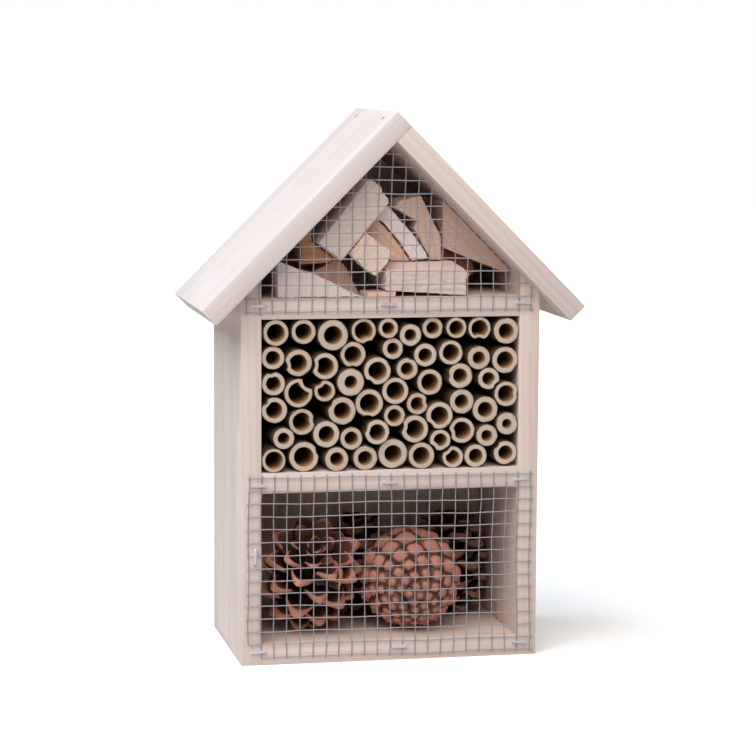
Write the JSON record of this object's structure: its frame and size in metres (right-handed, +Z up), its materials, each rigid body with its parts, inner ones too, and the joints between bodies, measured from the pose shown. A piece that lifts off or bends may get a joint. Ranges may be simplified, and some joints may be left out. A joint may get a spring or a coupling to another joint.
{
  "type": "insect hotel",
  "caption": "Gabled wooden insect hotel: wire-fronted loft of wood offcuts, a middle room of bamboo tubes and a wire-fronted lower room of pine cones.",
  "frame": {"origin": "middle of the rectangle that the whole object covers, on the ground that it stands on", "axes": "+X to the right as one faces the front, +Y from the front to the back, +Z up"},
  "size_m": [0.1886, 0.1, 0.2685],
  "materials": {
    "roof_wood": "pale planed whitewood with a faint whitewash",
    "body_wood": "pale planed whitewood with a faint whitewash",
    "back_wood": "pale planed whitewood",
    "offcut_wood": "rough-sawn and split softwood",
    "bamboo": "sawn cane ends, brown bores",
    "pine_cone": "dry woody scales",
    "mesh_wire": "dull galvanised",
    "staple_wire": "bright galvanised",
    "nail_steel": "bright steel, slightly dulled",
    "hanger_zinc": "zinc plated"
  },
  "bodies": {
    "root": {"back_panel": "back_wood", "back_panel_nails": "nail_steel", "bamboo_tubes_01": "bamboo", "bamboo_tubes_02": "bamboo", "bamboo_tubes_03": "bamboo", "bamboo_tubes_04": "bamboo", "bamboo_tubes_05": "bamboo", "bamboo_tubes_06": "bamboo", "bamboo_tubes_07": "bamboo", "bamboo_tubes_08": "bamboo", "bamboo_tubes_09": "bamboo", "bamboo_tubes_10": "bamboo", "bamboo_tubes_11": "bamboo", "bamboo_tubes_12": "bamboo", "bamboo_tubes_13": "bamboo", "bamboo_tubes_14": "bamboo", "bamboo_tubes_15": "bamboo", "bamboo_tubes_16": "bamboo", "bamboo_tubes_17": "bamboo", "bamboo_tubes_18": "bamboo", "bamboo_tubes_19": "bamboo", "bevelled_stick_offcut": "offcut_wood", "bottom_board": "body_wood", "closed_pine_cone": "pine_cone", "dark_stick_offcut": "offcut_wood", "eave_nails": "nail_steel", "front_triangle_offcut": "offcut_wood", "hanger_plate": "hanger_zinc", "hanger_screws": "hanger_zinc", "leaning_board_offcut": "offcut_wood", "left_side_panel": "body_wood", "lower_mesh": "mesh_wire", "lower_mesh_staples": "staple_wire", "lower_shelf": "body_wood", "open_pine_cone": "pine_cone", "rear_middle_pine_cone": "pine_cone", "rear_right_pine_cone": "pine_cone", "rear_triangle_offcut": "offcut_wood", "ridge_nails": "nail_steel", "right_side_panel": "body_wood", "roof_left_board": "roof_wood", "roof_right_board": "roof_wood", "rough_chip_offcut": "offcut_wood", "rough_sawn_block_offcut": "offcut_wood", "rough_sawn_stick_offcut": "offcut_wood", "shelf_nails": "nail_steel", "sloping_wedge_offcut": "offcut_wood", "square_block_offcut": "offcut_wood", "tan_stick_offcut": "offcut_wood", "thin_strip_offcut": "offcut_wood", "upper_mesh": "mesh_wire", "upper_mesh_staples": "staple_wire", "upper_shelf": "body_wood"}
  },
  "joints": []
}
